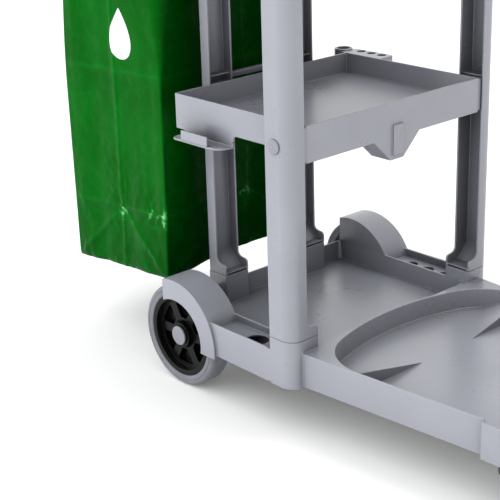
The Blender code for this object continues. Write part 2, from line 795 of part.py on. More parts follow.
def make_top_shelf():
    levels = (TOP_BOTTOM, TOP_DECK, TOP_RIM)
    shelf = shelf_tray("top_shelf", TOP_REAR, TOP_FRONT, TOP_HALF, levels, 24.0, 4.0)
    low = (TOP_DIVIDER_X - 2.0, 2.0 - TOP_HALF, TOP_DECK - 2.0)
    high = (TOP_DIVIDER_X + 2.0, TOP_HALF - 2.0, TOP_RIM - 12.0)
    divider = box("divider", low, high)
    inner = FRONT_UPRIGHT["outer"] - 30.0
    pegs = shelf_lugs(inner, REAR_UPRIGHT["back"] + 24.0, TOP_BOTTOM - 35.0, TOP_DECK - 2.0)
    seats = []
    shape = FRONT_UPRIGHT
    back = REAR_UPRIGHT
    for side in SIDES.values():
        ends = (shape["rear"] - 3.0, shape["rear"] + shape["width"] + 2.0)
        halves = (shape["outer"] - shape["depth"] - 3.0, TOP_HALF - 2.0)
        seats.append(side_box("seat", side, ends, halves, (TOP_BOTTOM, TOP_DECK - 2.0)))
        ends = (back["back"] - 5.0, back["back"] + back["depth"] + 3.0)
        halves = (back["outer"] - back["width"] - 3.0, back["outer"] + 3.0)
        seats.append(side_box("seat", side, ends, halves, (TOP_BOTTOM, TOP_DECK - 2.0)))
    return join(shelf, divider, *seats, *pegs)


def make_tool_rack():
    """The far side's rack: a raised ring for a thick handle, then three holes in a plate."""
    wall = SHELF_HALF + GAP
    top = SHELF_RIM - 1.5
    plan = rounded([(-48.0, wall, 0.0), (58.0, wall, 0.0), (58.0, 272.0, 10.0), (-48.0, 270.0, 3.0)])
    plate = slab("tool_rack", plan, top - 13.0, top)
    ring = tube("ring", 13.5, 19.0, top - 19.0, top + 3.0, (-62.0, 248.0, 0.0))
    body = join(plate, ring)
    holes = []
    for x in RACK_HOLES:
        holes.append(rod("small", 9.0, top - 30.0, top + 20.0, (x, RACK_HOLE_Y, 0.0), "Z", 24))
    return cut(body, *holes)


def make_rear_rail():
    inner = REAR_UPRIGHT["outer"] - REAR_UPRIGHT["width"] - GAP
    return slab("rear_rail", rectangle(-61.0, -50.0, 559.0, 570.0, 2.0), -inner, inner, "Y")


def make_plug():
    """The cap over the near front upright's shelf screw."""
    head = [(PLUG_RADIUS, -GAP), (PLUG_RADIUS, -1.6), (PLUG_RADIUS - 1.6, -2.8), (0.0, -2.8)]
    profile = [(0.0, 3.8), (5.6, 3.8), (5.6, -GAP)] + head
    return turned("shelf_plug_near", profile, (PLUG_X, -BASE_SIDE, PLUG_Z), "Y", SMALL_STEPS)


# ---------------------------------------------------------------- bag and its frame


def make_bag_frame():
    """A hoop of round bar with two lugs that meet the top shelf's rear wall."""
    outline = rectangle(FRAME_REAR, FRAME_FRONT, -FRAME_HALF, FRAME_HALF, FRAME_CORNER, 15.0)
    hoop = wire("bag_frame", [(x, y, FRAME_Z) for x, y in outline], FRAME_BAR, closed=True, sides=4)
    lugs = []
    for side in SIDES.values():
        ends = sorted((side * 118.0, side * 158.0))
        outline = rectangle(ends[0], ends[1], FRAME_Z - 20.0, FRAME_Z + 20.0, 5.0)
        lugs.append(slab("lug", outline, FRAME_FRONT, TOP_REAR - GAP, "X"))
    holes = []
    for side in SIDES.values():
        for spot in (-13.0, 13.0):
            centre = (0.0, side * 138.0, FRAME_Z + spot)
            holes.append(rod("hole", 3.2, FRAME_FRONT - 4.0, TOP_REAR + 4.0, centre, "X", TINY_STEPS))
    return cut(join(hoop, *lugs), *holes)


def make_grip():
    bar = FRAME_BAR + 0.4
    profile = [
        (bar, GRIP_HALF), (GRIP_RADIUS - 2.0, GRIP_HALF), (GRIP_RADIUS, GRIP_HALF - 3.0),
        (GRIP_RADIUS, 3.0 - GRIP_HALF), (GRIP_RADIUS - 2.0, -GRIP_HALF), (bar, -GRIP_HALF),
    ]
    return turned("handle_grip", profile, (FRAME_REAR, 0.0, FRAME_Z), "Y", GRIP_STEPS, ring=True)


def bag_loop(inset, z):
    """The bag's section at a height: it leans back a little towards its bottom."""
    share = (BAG_TOP - z) / (BAG_TOP - BAG_BOTTOM)
    rear = -400.0 - 11.0 * share + inset
    front = -99.5 - 14.0 * share - inset
    half = BAG_HALF - inset
    outline = rectangle(rear, front, -half, half, BAG_CORNER - inset, 22.5)
    return [(x, y, z) for x, y in outline]


def bag_spots():
    """Where the hooks hold the bag: (x, y, angle), the angle pointing out of the bag."""
    spots = []
    for x in (-330.0, -170.0):
        spots += [(x, -FRAME_HALF, -90.0), (x, FRAME_HALF, 90.0)]
    return spots + [(FRAME_REAR, -150.0, 180.0), (FRAME_REAR, 150.0, 180.0)]


def make_bag():
    lowest = BAG_BOTTOM + BAG_THICKNESS
    bag = loft("waste_bag", [
        bag_loop(10.0, BAG_BOTTOM),
        bag_loop(0.0, BAG_BOTTOM + 8.0),
        bag_loop(0.0, BAG_TOP),
        bag_loop(BAG_THICKNESS, BAG_TOP),
        bag_loop(BAG_THICKNESS, lowest + 8.0),
        bag_loop(BAG_THICKNESS + 8.0, lowest),
    ])
    holes = []
    for x, y, angle in bag_spots():
        axis = "X" if angle == 180.0 else "Y"
        reach = 25.0
        holes.append(rod("grommet", 4.0, -reach, reach, (x, y, GROMMET_Z), axis, TINY_STEPS))
    return cut(bag, *holes)


def make_hook(name, x, y, angle):
    """A wire hook over the frame's bar, with its lower end through the bag's wall."""
    over = FRAME_BAR + HOOK_WIRE + GAP
    drop = GROMMET_Z - FRAME_Z
    profile = [(-over, -4.0)]
    profile += arc(0.0, 0.0, over, 180.0, 0.0, 8)
    profile += [(over, -6.0), (over - 2.0, drop / 2)]
    profile += arc(over - 10.0, drop + 8.0, 8.0, 0.0, -90.0, 3)
    profile += [(-over - 4.0, drop)]
    profile += arc(-over - 4.0, drop + 5.0, 5.0, 270.0, 180.0, 3)[1:]
    turn = math.radians(angle)
    points = [(x + out * math.cos(turn), y + out * math.sin(turn), FRAME_Z + up) for out, up in profile]
    return wire(name, points, HOOK_WIRE, sides=1)


# ---------------------------------------------------------------- rear wheels


def tyre_profile():
    """Half sections from the outer face (positive) to the inner face of the tyre."""
    half = TYRE_WIDTH / 2
    inner = RIM_RADIUS + GAP
    outer = WHEEL_RADIUS
    face = [(inner, half - 1.0), (83.0, half), (93.0, half)]
    shoulder = arc(outer - 7.0, half - 7.0, 7.0, 90.0, 0.0, 3)[1:]
    top = face + shoulder
    return top + [(r, -h) for r, h in reversed(top)]


def make_tyre():
    middle = -(WHEEL_FACE - TYRE_WIDTH / 2)
    return turned("wheel_tyre_near", tyre_profile(), (0.0, middle, WHEEL_Z), "Y", WHEEL_STEPS, ring=True)


def hub_window(angle):
    """One of the hub's wedge-shaped recesses."""
    half = math.radians(22.0)
    turn = math.radians(angle)
    corners = []
    shape = ((33.0, 0.62, 3.0), (33.0, -0.62, 3.0), (66.0, -1.0, 5.0), (66.0, 1.0, 5.0))
    for radius, spread, rounding in shape:
        a = turn + half * spread
        corners.append((radius * math.cos(a), WHEEL_Z + radius * math.sin(a), rounding))
    face = -WHEEL_FACE
    return slab("window", rounded(corners), face - 5.0, face + 24.0, "Y")


def make_hub():
    """The hub: a deep rim, a web set back from the face, and a boss with a counterbore."""
    face = 0.0
    back = -TYRE_WIDTH + 2.0
    bore = AXLE_RADIUS + RUNNING_CLEARANCE
    profile = [
        (11.0, face - 3.5), (25.0, face - 3.5), (28.0, face - 14.0), (68.0, face - 14.0),
        (71.0, face - 2.0), (RIM_RADIUS, face - 2.0),
        (RIM_RADIUS, back), (70.0, back), (68.0, back + 10.0),
        (24.0, back + 10.0), (22.0, back), (bore, back),
        (bore, face - 9.0), (11.0, face - 9.0),
    ]
    profile = [(radius, -height) for radius, height in profile]
    profile.reverse()
    hub = turned("hub", profile, (0.0, -WHEEL_FACE, WHEEL_Z), "Y", WHEEL_STEPS, ring=True)
    hub = cut(hub, *[hub_window(angle) for angle in range(30, 390, 60)])
    hub.name = "wheel_hub_near"
    return hub


def make_wheel_cap():
    collar = [(0.0, 6.2), (9.0, 6.2), (9.0, 3.2)]
    profile = collar + [(18.0, 3.2), (19.0, 2.2), (19.0, -0.6), (18.0, -1.6), (0.0, -1.6)]
    return turned("wheel_cap_near", profile, (0.0, -WHEEL_FACE, WHEEL_Z), "Y", CASTER_STEPS)


def make_wheel_nut():
    return tube("wheel_nut_near", AXLE_RADIUS + 0.05, 10.4, 6.6, 8.7, (0.0, -WHEEL_FACE, WHEEL_Z), "Y")


def make_wheel_spacer():
    low = -(WHEEL_FACE - TYRE_WIDTH + 2.0) + GAP + 4.0
    high = -(FENDER_INNER + WALL) - GAP
    return tube("wheel_spacer_near", AXLE_RADIUS + 0.2, 10.0, low, high, (0.0, 0.0, WHEEL_Z), "Y")


def make_axle():
    reach = WHEEL_FACE - 6.8
    end = [(0.0, reach), (AXLE_RADIUS - 1.0, reach), (AXLE_RADIUS, reach - 1.0)]
    profile = end + [(radius, -along) for radius, along in reversed(end)]
    return turned("rear_axle", profile, (0.0, 0.0, WHEEL_Z), "Y")


# ---------------------------------------------------------------- casters


def caster_origin(side):
    return (CASTER_X, side * CASTER_Y, 0.0)


def trail_y(side):
    """Where the caster's wheel axle stands at rest, towards the cart's middle."""
    return side * (CASTER_Y - CASTER_TRAIL)


def make_caster_plate(name, side):
    x, y, _ = caster_origin(side)
    outline = rectangle(x - 30.0, x + 20.0, y - 26.0, y + 26.0, 6.0)
    plate = slab(name, outline, CASTER_PLATE_BOTTOM, CASTER_PLATE_TOP)
    race = rod("race", 22.0, CASTER_HEAD_TOP + GAP, CASTER_PLATE_BOTTOM + 1.0, (x, y, 0.0))
    bore = rod("bore", 5.3, 70.0, 100.0, (x, y, 0.0))
    return cut(join(plate, race), bore)


def make_kingpin(name, side):
    x, y, _ = caster_origin(side)
    profile = [(0.0, 91.5), (5.0, 91.5), (5.0, 71.2), (8.0, 71.2), (8.0, 69.0), (6.5, 67.4), (0.0, 67.4)]
    return turned(name, profile, (x, y, 0.0), "Z", SMALL_STEPS)


def make_caster_fork(name, side):
    """The swivelling head with its two legs, turned so that the wheel trails towards the cart's middle."""
    x, y, _ = caster_origin(side)
    low = CASTER_HEAD_BOTTOM
    high = CASTER_HEAD_TOP
    rim = CASTER_HEAD_RADIUS
    profile = [(0.0, high), (rim - 3.0, high), (rim, high - 3.0), (rim, low), (0.0, low)]
    head = turned("head", profile, (x, y, 0.0), "Z", CASTER_STEPS)
    axle_y = trail_y(side)
    legs = []
    for across in (-1, 1):
        ends = sorted((x + across * 12.5, x + across * 16.0))
        outline = rounded([
            (y + side * 19.0, low + 4.0, 0.0),
            (y + side * 16.0, low - 8.0, 6.0),
            (axle_y + side * 11.0, CASTER_RADIUS - 10.0, 9.0),
            (axle_y - side * 10.0, CASTER_RADIUS - 10.0, 9.0),
            (axle_y - side * 10.0, CASTER_RADIUS + 12.0, 10.0),
            (y - side * 20.0, low + 4.0, 0.0),
        ], 24.0)
        legs.append(slab("leg", outline, ends[0], ends[1], "X"))
    body = join(head, *legs)
    kingpin_bore = rod("kingpin_bore", 5.0 + RUNNING_CLEARANCE, 60.0, 95.0, (x, y, 0.0))
    axle_bore = rod("axle_bore", 4.1, -30.0, 30.0, (x, axle_y, CASTER_RADIUS), "X", TINY_STEPS)
    body = cut(body, kingpin_bore, axle_bore)
    body.name = name
    return body


def make_caster_axle(name, side):
    """The bolt through the fork's legs."""
    x, y, _ = caster_origin(side)
    profile = [(0.0, 19.6), (6.5, 19.6), (6.5, 16.3), (4.0, 16.3), (4.0, -18.5), (0.0, -18.5)]
    return turned(name, profile, (x, trail_y(side), CASTER_RADIUS), "X", TINY_STEPS)


def make_caster_hub(name, side):
    x, y, _ = caster_origin(side)
    half = CASTER_HALF_WIDTH
    bore = 4.0 + RUNNING_CLEARANCE
    outer = CASTER_RADIUS - 9.0
    profile = [
        (bore, half + 1.0), (8.0, half + 1.0), (9.0, half - 4.0),
        (outer - 4.0, half - 4.0), (outer - 2.0, half - 1.0), (outer, half - 1.0),
    ]
    profile += [(radius, -height) for radius, height in reversed(profile)]
    return turned(name, profile, (x, trail_y(side), CASTER_RADIUS), "X", CASTER_STEPS, ring=True)


def make_caster_tyre(name, side):
    x, y, _ = caster_origin(side)
    half = CASTER_HALF_WIDTH
    inner = CASTER_RADIUS - 9.0 + GAP
    edge = arc(CASTER_RADIUS - 4.0, half - 4.0, 4.0, 90.0, 0.0, 4)
    top = [(inner, half - 1.0)] + edge
    profile = top + [(r, -h) for r, h in reversed(top)]
    return turned(name, profile, (x, trail_y(side), CASTER_RADIUS), "X", CASTER_STEPS, ring=True)


# ---------------------------------------------------------------- assembly


def add_structure(materials):
    body = materials["body_plastic"]
    finish(make_base(), body, smooth=True)
    front = finish(make_front_upright(), body, smooth=True)
    finish(mirrored(front, "upright_front_far"), body, smooth=True)
    rear = finish(make_rear_upright(), body, smooth=True)
    finish(mirrored(rear, "upright_rear_far"), body, smooth=True)
    finish(make_middle_shelf(), body, smooth=True)
    finish(make_top_shelf(), body, smooth=True)
    finish(make_tool_rack(), body, smooth=True)
    finish(make_rear_rail(), body, smooth=True)
    plug = finish(make_plug(), materials["cap_plastic"], smooth=True)
    finish(mirrored(plug, "shelf_plug_far"), materials["cap_plastic"], smooth=True)


def add_bag(materials):
    finish(make_bag_frame(), materials["body_plastic"], smooth=True)
    finish(make_grip(), materials["grip_rubber"], smooth=True)
    finish(make_bag(), materials["bag_vinyl"], smooth=True)
    for number, (x, y, angle) in enumerate(bag_spots(), 1):
        finish(make_hook(f"bag_hook_{number}", x, y, angle), materials["steel"], smooth=True)


def add_rear_wheels(materials):
    finish(make_axle(), materials["steel"], smooth=True)
    pieces = [
        (make_tyre(), "tyre_rubber", True),
        (make_hub(), "hub_plastic", True),
        (make_wheel_cap(), "cap_plastic", True),
        (make_wheel_nut(), "steel", False),
        (make_wheel_spacer(), "hub_plastic", False),
    ]
    for near, material, turns in pieces:
        far = mirrored(near, near.name.replace("near", "far"))
        for piece, side in ((near, SIDES["near"]), (far, SIDES["far"])):
            origin = (0.0, side * WHEEL_FACE, WHEEL_Z) if turns else None
            finish(piece, materials[material], smooth=True, origin=origin)


def add_casters(materials):
    for word, side in SIDES.items():
        x, y, _ = caster_origin(side)
        swivel = (x, y, CASTER_HEAD_TOP)
        spin = (x, trail_y(side), CASTER_RADIUS)
        pieces = [
            (make_caster_plate, "plate", "steel", None),
            (make_kingpin, "kingpin", "steel", None),
            (make_caster_fork, "fork", "caster_plastic", swivel),
            (make_caster_axle, "axle", "steel", swivel),
            (make_caster_hub, "hub", "caster_plastic", spin),
            (make_caster_tyre, "tyre", "tyre_rubber", spin),
        ]
        for make, part, material, origin in pieces:
            piece = make(f"caster_{part}_{word}", side)
            finish(piece, materials[material], smooth=True, origin=origin)


def main():
    clear_scene()
    group = bpy.data.collections.new(COLLECTION)
    bpy.context.scene.collection.children.link(group)
    materials = {name: make_material(name) for name in MATERIALS}
    add_structure(materials)
    add_bag(materials)
    add_rear_wheels(materials)
    add_casters(materials)


main()
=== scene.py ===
"""Looks of the housekeeping cart: moulded grey plastic with rounded edges, a creased green vinyl bag,
moulded tyres with a tread, and plain studio light. Lengths are in metres, in the frame of the CAD model.
"""

import json
import math

import bmesh
import bpy
from mathutils import Matrix, Vector, noise

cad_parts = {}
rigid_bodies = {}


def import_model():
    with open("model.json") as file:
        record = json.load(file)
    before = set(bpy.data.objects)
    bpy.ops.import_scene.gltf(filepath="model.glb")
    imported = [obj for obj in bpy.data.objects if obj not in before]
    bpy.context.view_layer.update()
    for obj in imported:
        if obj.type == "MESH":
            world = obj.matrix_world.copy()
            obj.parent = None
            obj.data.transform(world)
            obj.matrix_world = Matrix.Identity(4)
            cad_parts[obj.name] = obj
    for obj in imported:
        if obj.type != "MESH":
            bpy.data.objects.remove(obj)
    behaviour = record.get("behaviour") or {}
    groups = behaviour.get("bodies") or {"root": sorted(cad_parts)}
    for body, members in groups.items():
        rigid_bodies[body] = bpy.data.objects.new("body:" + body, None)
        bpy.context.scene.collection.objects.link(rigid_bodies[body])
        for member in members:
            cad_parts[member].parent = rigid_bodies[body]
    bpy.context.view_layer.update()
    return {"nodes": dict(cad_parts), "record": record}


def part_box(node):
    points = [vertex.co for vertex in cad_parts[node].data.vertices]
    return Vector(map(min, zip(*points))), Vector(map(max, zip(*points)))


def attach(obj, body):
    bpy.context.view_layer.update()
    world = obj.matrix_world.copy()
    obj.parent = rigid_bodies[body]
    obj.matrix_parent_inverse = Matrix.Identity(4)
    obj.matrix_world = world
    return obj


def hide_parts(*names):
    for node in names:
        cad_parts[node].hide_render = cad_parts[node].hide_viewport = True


MM = 0.001
SIDES = {"near": -1, "far": 1}
WHOLE_BODY = "cart"

# Camera
CAMERA_AZIMUTH = 48.54
CAMERA_ELEVATION = 20.686
CAMERA_ROLL = -1.803
CAMERA_LENS = 95.36
CAMERA_PLACE = (1.6580, -1.6958, 1.1436)

# Light
KEY_FROM = (0.10, 0.30, 0.95)
KEY_STRENGTH = 0.6
KEY_ANGLE = 22.0
SKY_BRIGHT_FROM = (-0.72, -0.66, 0.20)
SKY_LOW = 0.28
SKY_HIGH = 2.25
SKY_LOW_COLOUR = (1.0, 0.995, 0.98)
SKY_HIGH_COLOUR = (0.97, 0.985, 1.0)
FLOOR_HALF = 40.0
FLOOR_LEVEL = -0.0003
FLOOR_COLOUR = (0.85, 0.848, 0.84, 1.0)
FLOOR_GLOW = 0.07

# Plastic and vinyl
# Painted shade from ambient occlusion in channels and folds: how far the occlusion looks, and the darkest
# share of the colour it leaves.
PAINTED_SHADE_REACH = 0.16
PAINTED_SHADE_DEPTH = 0.25
VINYL_DEEP = (0.0, 0.088, 0.002)
VINYL_PLAIN = (0.0, 0.112, 0.004)
# Crease whitening and painted highlights along the bag's creases: a brighter green on light creases, a pale
# green on strong ones.
VINYL_CREASE_HIGHLIGHT = (0.0, 0.26, 0.02)
VINYL_CREASE_WHITE_HIGHLIGHT = (0.22, 0.60, 0.26)

# Plain water drop printed on the bag
PRINT_WHITE = (0.84, 0.87, 0.85)
DROP_X = -0.398
DROP_BOTTOM = 0.590
DROP_HEIGHT = 0.100
DROP_WIDEST = 0.034
DROP_SHAPE_PEAK = 0.385
DROP_NEAR_OF = -0.12

# Edges of moulded pieces
EDGE_WIDTH = 1.3 * MM
THIN_EDGE_WIDTH = 0.5 * MM
EDGE_ANGLE = 32.0
WELD = 0.01 * MM

MOULDED = (
    "base", "upright_front_near", "upright_front_far", "upright_rear_near", "upright_rear_far",
    "middle_shelf", "top_shelf", "tool_rack", "rear_rail",
)
THIN_EDGED = (
    "bag_frame", "shelf_plug_near", "shelf_plug_far", "wheel_hub_near", "wheel_hub_far",
    "wheel_cap_near", "wheel_cap_far", "caster_fork_near", "caster_fork_far",
    "caster_plate_near", "caster_plate_far",
)

# Bag
# Name of the point attribute that carries crease whitening and painted crease highlights.
CREASE_WHITE_AND_HIGHLIGHT = "crease_white_and_highlight"
BAG_REAR_OUT = 13.0 * MM
BAG_LEAN_FRONT = 14.0 * MM
BAG_WALL = 1.0 * MM
BAG_HEM_DROP = 13.0
BAG_SIDE_STEPS = 72
BAG_CORNER_STEPS = 6
BAG_ROWS = 180
BAG_CORNER = 3.5
BAG_FLOOR_RINGS = 12
BAG_FRONT_LOOSE = 47.0
BAG_REAR_LOOSE = 24.0
BAG_HEM_LIFT_FRONT = 25.0
BAG_HEM_LIFT_FAR_FRONT = 15.0
BAG_HEM_LIFT_FAR = 4.0
BAG_HEM_TUCK = 1.5 * MM
BAG_RIM_HELD = 0.09
BAG_EDGE_WAVE = 2.4 * MM
FOLD_LEVELS = (0.131, 0.413, 0.692)
FOLD_ACROSS = 0.53

# Tyres and grip, in millimetres
TYRE_BORE = 81.3
TYRE_STEPS = 144
SHOULDER_RADIUS = 7.0
TREAD_GROOVES = (11.0, 4.0)
GRIP_BORE = 10.4
GRIP_STEPS = 48
GRIP_PLAIN_END = 12.0
GRIP_RIDGE_SPACING = 9.0


# ---------------------------------------------------------------- materials


def new_material(name):
    material = bpy.data.materials.new(name)
    material.use_nodes = True
    return material, material.node_tree.nodes, material.node_tree.links


def shader_of(nodes, roughness, metallic=0.0, specular=0.5):
    shader = nodes["Principled BSDF"]
    shader.inputs["Roughness"].default_value = roughness
    shader.inputs["Metallic"].default_value = metallic
    shader.inputs["Specular IOR Level"].default_value = specular
    return shader


def noise_node(nodes, links, scale, detail=3.0, stretch=None):
    """Noise over the object's own coordinates."""
    place = nodes.new("ShaderNodeTexCoord")
    texture = nodes.new("ShaderNodeTexNoise")
    texture.inputs["Scale"].default_value = scale
    texture.inputs["Detail"].default_value = detail
    vector = place.outputs["Object"]
    if stretch:
        mapping = nodes.new("ShaderNodeMapping")
        mapping.inputs["Scale"].default_value = stretch
        links.new(vector, mapping.inputs["Vector"])
        vector = mapping.outputs["Vector"]
    links.new(vector, texture.inputs["Vector"])
    return texture.outputs["Fac"]


def ramp(nodes, links, factor, low, high, low_colour, high_colour):
    stops = nodes.new("ShaderNodeValToRGB")
    stops.color_ramp.interpolation = "EASE"
    stops.color_ramp.elements[0].position = low
    stops.color_ramp.elements[1].position = high
    stops.color_ramp.elements[0].color = (*low_colour, 1.0)
    stops.color_ramp.elements[1].color = (*high_colour, 1.0)
    links.new(factor, stops.inputs["Fac"])
    return stops.outputs["Color"]


def remap(nodes, links, factor, low, high):
    """The factor's 0.2 to 0.8 spread over low to high."""
    scale = nodes.new("ShaderNodeMapRange")
    scale.interpolation_type = "SMOOTHSTEP"
    scale.inputs["From Min"].default_value = 0.2
    scale.inputs["From Max"].default_value = 0.8
    scale.inputs["To Min"].default_value = low
    scale.inputs["To Max"].default_value = high
    links.new(factor, scale.inputs["Value"])
    return scale.outputs["Result"]


def bump(nodes, links, height, distance, strength=1.0, under=None):
    node = nodes.new("ShaderNodeBump")
    node.inputs["Distance"].default_value = distance
    node.inputs["Strength"].default_value = strength
    links.new(height, node.inputs["Height"])
    if under is not None:
        links.new(under, node.inputs["Normal"])
    return node.outputs["Normal"]


def painted_enclosure_shade(nodes, links, colour, distance, depth):
    """The colour with painted shade: darkened by ambient occlusion where the surface is closed in, as in a
    channel or a fold, down to depth of it.
    """
    occlusion = nodes.new("ShaderNodeAmbientOcclusion")
    occlusion.samples = 6
    occlusion.inputs["Distance"].default_value = distance
    shade = nodes.new("ShaderNodeMapRange")
    shade.inputs["From Min"].default_value = 0.30
    shade.inputs["From Max"].default_value = 0.92
    shade.inputs["To Min"].default_value = depth
    links.new(occlusion.outputs["AO"], shade.inputs["Value"])
    mix = nodes.new("ShaderNodeMix")
    mix.data_type = "RGBA"
    mix.blend_type = "MULTIPLY"
    mix.inputs["Factor"].default_value = 1.0
    links.new(colour, mix.inputs["A"])
    links.new(shade.outputs["Result"], mix.inputs["B"])
    return mix.outputs["Result"]


def scaled(colour, share):
    return tuple(channel * share for channel in colour)


def moulded_plastic(name, colour, roughness, grain=0.00003, specular=0.5):
    """Moulded plastic: faint clouding of the colour, painted shade in its channels and corners, a fine
    grain, and rubbed patches that shine more.
    """
    material, nodes, links = new_material(name)
    shader = shader_of(nodes, roughness, specular=specular)
    clouds = noise_node(nodes, links, 7.0, 4.0)
    plain = ramp(nodes, links, clouds, 0.3, 0.7, scaled(colour, 0.955), scaled(colour, 1.03))
    # Painted shade: the base colour is darkened by ambient occlusion in channels and corners.
    links.new(painted_enclosure_shade(nodes, links, plain, PAINTED_SHADE_REACH, PAINTED_SHADE_DEPTH), shader.inputs["Base Color"])
    rubbed = noise_node(nodes, links, 9.0, 3.0)
    links.new(remap(nodes, links, rubbed, roughness - 0.025, roughness + 0.025), shader.inputs["Roughness"])
    flow = bump(nodes, links, noise_node(nodes, links, 14.0, 2.0), 0.0006, 0.35)
    skin = bump(nodes, links, noise_node(nodes, links, 1500.0, 2.0), grain, 0.3, flow)
    links.new(skin, shader.inputs["Normal"])
    return material


def mixed(nodes, links, factor, plain, other):
    """The plain colour turned to the other one by a factor. The other may be a fixed colour."""
    mix = nodes.new("ShaderNodeMix")
    mix.data_type = "RGBA"
    links.new(factor, mix.inputs["Factor"])
    links.new(plain, mix.inputs["A"])
    if isinstance(other, tuple):
        mix.inputs["B"].default_value = other
    else:
        links.new(other, mix.inputs["B"])
    return mix.outputs["Result"]


def reckon(nodes, links, operation, first, second=None):
    """One step of arithmetic. Each value is a socket or a number."""
    step = nodes.new("ShaderNodeMath")
    step.operation = operation
    for number, value in enumerate((first, second)):
        if isinstance(value, (int, float)):
            step.inputs[number].default_value = value
        elif value is not None:
            links.new(value, step.inputs[number])
    return step.outputs["Value"]


def droplet(nodes, links):
    """A plain water drop on the near face of the bag: 1 inside it and 0 outside."""
    place = nodes.new("ShaderNodeTexCoord")
    parts = nodes.new("ShaderNodeSeparateXYZ")
    links.new(place.outputs["Object"], parts.inputs["Vector"])
    above = reckon(nodes, links, "SUBTRACT", parts.outputs["Z"], DROP_BOTTOM)
    rise = reckon(nodes, links, "DIVIDE", above, DROP_HEIGHT)
    rise = reckon(nodes, links, "MINIMUM", reckon(nodes, links, "MAXIMUM", rise, 0.0), 1.0)
    taper = reckon(nodes, links, "SUBTRACT", 1.0, rise)
    width = reckon(nodes, links, "MULTIPLY", reckon(nodes, links, "SQRT", rise), taper)
    width = reckon(nodes, links, "MULTIPLY", width, DROP_WIDEST / DROP_SHAPE_PEAK)
    away = reckon(nodes, links, "ABSOLUTE", reckon(nodes, links, "SUBTRACT", parts.outputs["X"], DROP_X))
    inside = reckon(nodes, links, "GREATER_THAN", width, away)
    near = reckon(nodes, links, "LESS_THAN", parts.outputs["Y"], DROP_NEAR_OF)
    return reckon(nodes, links, "MULTIPLY", inside, near)


def vinyl():
    """Glossy vinyl film: crinkles at two sizes, colour clouded at random, painted shade where its folds and
    the cart close around it, and whitening from folding with painted highlights along its creases.
    """
    material, nodes, links = new_material("bag_vinyl")
    shader = shader_of(nodes, 0.24, specular=0.03)
    clouds = noise_node(nodes, links, 9.0, 3.0)
    plain = ramp(nodes, links, clouds, 0.3, 0.72, VINYL_DEEP, VINYL_PLAIN)
    # Crease whitening and painted highlights: the base colour is lightened along fold lines and crumples.
    crease_white_and_highlight = nodes.new("ShaderNodeAttribute")
    crease_white_and_highlight.attribute_name = CREASE_WHITE_AND_HIGHLIGHT
    speckle = noise_node(nodes, links, 120.0, 4.0)
    broken = nodes.new("ShaderNodeMath")
    broken.operation = "MULTIPLY"
    links.new(crease_white_and_highlight.outputs["Fac"], broken.inputs[0])
    links.new(remap(nodes, links, speckle, 0.35, 1.15), broken.inputs[1])
    white_and_highlighted = ramp(nodes, links, broken.outputs["Value"], 0.3, 0.95, VINYL_CREASE_HIGHLIGHT, VINYL_CREASE_WHITE_HIGHLIGHT)
    creased = mixed(nodes, links, broken.outputs["Value"], plain, white_and_highlighted)
    printed = mixed(nodes, links, droplet(nodes, links), creased, (*PRINT_WHITE, 1.0))
    # Painted shade: the film's colour is darkened by ambient occlusion in its folds and where the cart
    # closes around it.
    links.new(painted_enclosure_shade(nodes, links, printed, 0.45, 0.24), shader.inputs["Base Color"])
    patches = noise_node(nodes, links, 18.0, 4.0)
    links.new(remap(nodes, links, patches, 0.17, 0.34), shader.inputs["Roughness"])
    place = nodes.new("ShaderNodeTexCoord")
    cells = nodes.new("ShaderNodeTexVoronoi")
    cells.feature = "DISTANCE_TO_EDGE"
    cells.inputs["Scale"].default_value = 22.0
    links.new(place.outputs["Object"], cells.inputs["Vector"])
    waves = bump(nodes, links, noise_node(nodes, links, 11.0, 2.0, (1.0, 1.0, 0.35)), 0.006, 0.55)
    facets = bump(nodes, links, cells.outputs["Distance"], 0.004, 0.22, waves)
    fine = bump(nodes, links, noise_node(nodes, links, 90.0, 3.0), 0.0005, 0.30, facets)
    links.new(fine, shader.inputs["Normal"])
    return material


def rubber(name, colour, roughness):
    material, nodes, links = new_material(name)
    shader = shader_of(nodes, roughness, specular=0.35)
    dust = noise_node(nodes, links, 34.0, 5.0)
    links.new(ramp(nodes, links, dust, 0.32, 0.72, scaled(colour, 0.86), scaled(colour, 1.06)),
              shader.inputs["Base Color"])
    links.new(remap(nodes, links, dust, roughness - 0.05, roughness + 0.1), shader.inputs["Roughness"])
    skin = bump(nodes, links, noise_node(nodes, links, 900.0, 2.0), 0.00005, 0.4)
    links.new(skin, shader.inputs["Normal"])
    return material


def zinc_steel():
    """Zinc-plated steel with a faint drawn grain."""
    material, nodes, links = new_material("zinc_steel")
    shader = shader_of(nodes, 0.3, metallic=1.0)
    grain = noise_node(nodes, links, 120.0, 4.0, (1.0, 1.0, 0.12))
    plating = ramp(nodes, links, grain, 0.3, 0.7, (0.56, 0.56, 0.55), (0.68, 0.68, 0.69))
    links.new(plating, shader.inputs["Base Color"])
    links.new(remap(nodes, links, grain, 0.24, 0.38), shader.inputs["Roughness"])
    links.new(bump(nodes, links, grain, 0.00002, 0.4), shader.inputs["Normal"])
    return material


def pale_floor():
    material, nodes, links = new_material("pale_floor")
    shader = shader_of(nodes, 0.9, specular=0.0)
    shader.inputs["Base Color"].default_value = FLOOR_COLOUR
    shader.inputs["Emission Color"].default_value = (1.0, 0.995, 0.985, 1.0)
    shader.inputs["Emission Strength"].default_value = FLOOR_GLOW
    return material


